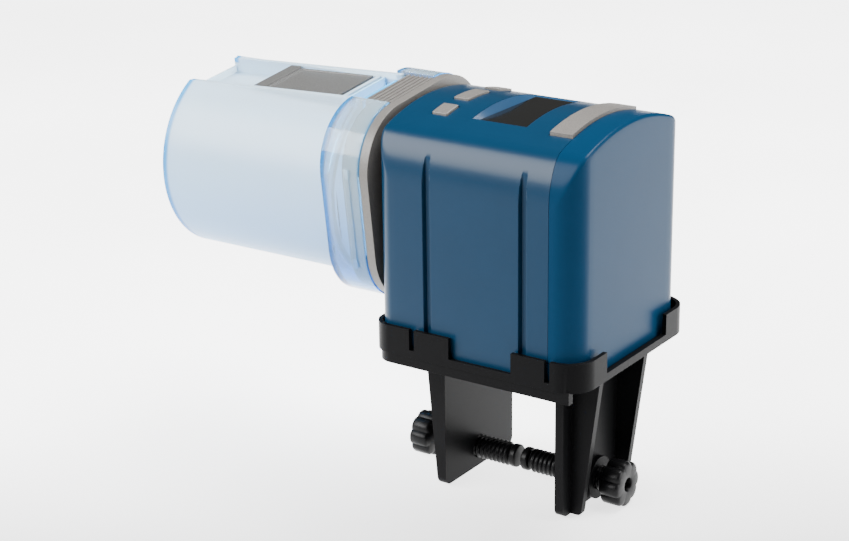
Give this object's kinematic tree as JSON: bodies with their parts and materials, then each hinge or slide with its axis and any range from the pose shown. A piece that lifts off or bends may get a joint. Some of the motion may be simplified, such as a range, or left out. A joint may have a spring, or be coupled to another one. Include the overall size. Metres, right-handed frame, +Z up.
{
  "type": "automatic aquarium fish feeder",
  "caption": "Rim-mounted battery fish feeder: a clamp bracket holds a domed motor body that turns a clear food drum with a sliding feed shutter.",
  "frame": {"origin": "middle of the seat rib's underside, the face that rests on the tank's rim", "axes": "+X from the food drum towards the battery end cap, along the drum's axis; +Y along the tank's wall, from the near side with the short keys' set button to the far side; +Z up"},
  "size_m": [0.1629, 0.0708, 0.1292],
  "materials": {
    "blue_shell": "satin moulded",
    "blue_cover": "satin moulded",
    "black_bracket": "fine matte texture",
    "black_screw": "satin moulded",
    "clear_blue": "clear, frosted inside",
    "grey_plastic": "satin moulded",
    "grey_shutter": "satin moulded",
    "lcd_clear": "polished",
    "lcd_dark": "polished",
    "board_green": "lacquered",
    "chip_black": "moulded",
    "gear_white": "natural moulded",
    "inner_black": "moulded",
    "motor_steel": "plated",
    "steel": "bright",
    "brass_pinion": "machined",
    "cell_wrap": "printed wrap, plain"
  },
  "bodies": {
    "bracket": {"mount_bracket": "black_bracket"},
    "left_pad": {"left_clamp_pad": "black_screw"},
    "left_screw": {"left_thumb_screw": "black_screw"},
    "right_pad": {"right_clamp_pad": "black_screw"},
    "right_screw": {"right_thumb_screw": "black_screw"},
    "feeder_body": {"main_housing": "blue_shell", "shaft_bush": "gear_white", "gear_plate": "gear_white", "idler_axle": "steel", "drive_motor": "motor_steel", "motor_screws": "steel", "circuit_board": "board_green", "panel_switches": "inner_black", "board_chips": "chip_black", "lcd_module": "lcd_dark", "lcd_window": "lcd_clear", "index_switch": "inner_black", "battery_tray": "inner_black", "battery_cells": "cell_wrap", "battery_contacts": "steel", "battery_springs": "steel", "tray_screws": "steel"},
    "cover": {"end_cap": "blue_cover"},
    "set_key": {"set_button": "grey_plastic"},
    "mode_key": {"mode_button": "grey_plastic"},
    "hour_key": {"hour_button": "grey_plastic"},
    "feed_key": {"feed_bar": "grey_plastic"},
    "hub": {"drive_hub": "grey_plastic", "output_gear": "gear_white", "hub_clip": "steel"},
    "idler": {"idler_gear": "gear_white"},
    "rotor": {"motor_pinion": "brass_pinion"},
    "drum": {"food_drum": "clear_blue", "drum_collar": "clear_blue"},
    "shutter": {"feed_shutter": "grey_shutter"}
  },
  "joints": [
    {"name": "left_pad_slide", "type": "slide", "parent": "bracket", "child": "left_pad", "axis": [-1, 0, 0], "range_m": [0, 0.014]},
    {"name": "left_screw_turn", "type": "hinge", "parent": "left_pad", "child": "left_screw", "pos_m": [-0.02, 0, -0.0392], "axis": [-1, 0, 0], "range_deg": [-5, 3160]},
    {"name": "right_pad_slide", "type": "slide", "parent": "bracket", "child": "right_pad", "axis": [1, 0, 0], "range_m": [0, 0.014]},
    {"name": "right_screw_turn", "type": "hinge", "parent": "right_pad", "child": "right_screw", "pos_m": [0.02, 0, -0.0392], "axis": [1, 0, 0], "range_deg": [-5, 3160]},
    {"name": "body_lift", "type": "slide", "parent": "bracket", "child": "feeder_body", "axis": [0, 0, 1], "range_m": [0, 0.03]},
    {"name": "cover_slide", "type": "slide", "parent": "feeder_body", "child": "cover", "axis": [0, 0, 1], "range_m": [0, 0.078]},
    {"name": "set_press", "type": "slide", "parent": "feeder_body", "child": "set_key", "axis": [0, 0, -1], "range_m": [0, 0.0008], "stiffness_N_per_m": 250},
    {"name": "mode_press", "type": "slide", "parent": "feeder_body", "child": "mode_key", "axis": [0, 0, -1], "range_m": [0, 0.0008], "stiffness_N_per_m": 250},
    {"name": "hour_press", "type": "slide", "parent": "feeder_body", "child": "hour_key", "axis": [0, 0, -1], "range_m": [0, 0.0008], "stiffness_N_per_m": 250},
    {"name": "feed_press", "type": "slide", "parent": "feeder_body", "child": "feed_key", "axis": [0, 0, -1], "range_m": [0, 0.0008], "stiffness_N_per_m": 400},
    {"name": "hub_spin", "type": "hinge", "parent": "feeder_body", "child": "hub", "pos_m": [-0.0384, 0, 0.0482], "axis": [1, 0, 0], "continuous": true},
    {"name": "idler_spin", "type": "hinge", "parent": "feeder_body", "child": "idler", "pos_m": [-0.03, 0.01309, 0.03416], "axis": [1, 0, 0], "continuous": true},
    {"name": "rotor_spin", "type": "hinge", "parent": "feeder_body", "child": "rotor", "pos_m": [-0.026, 0.0016, 0.02452], "axis": [1, 0, 0], "continuous": true},
    {"name": "drum_pull", "type": "slide", "parent": "hub", "child": "drum", "axis": [-1, 0, 0], "range_m": [0, 0.03]},
    {"name": "shutter_slide", "type": "slide", "parent": "drum", "child": "shutter", "axis": [-0.9991, 0.0051, -0.0416], "range_m": [0, 0.022]}
  ],
  "couplings": [
    {"joint": "left_screw_turn", "follows": "left_pad_slide", "rad_per_m": 3927},
    {"joint": "right_screw_turn", "follows": "right_pad_slide", "rad_per_m": 3927},
    {"joint": "idler_spin", "follows": "hub_spin", "ratio": -3},
    {"joint": "rotor_spin", "follows": "hub_spin", "ratio": 12}
  ]
}
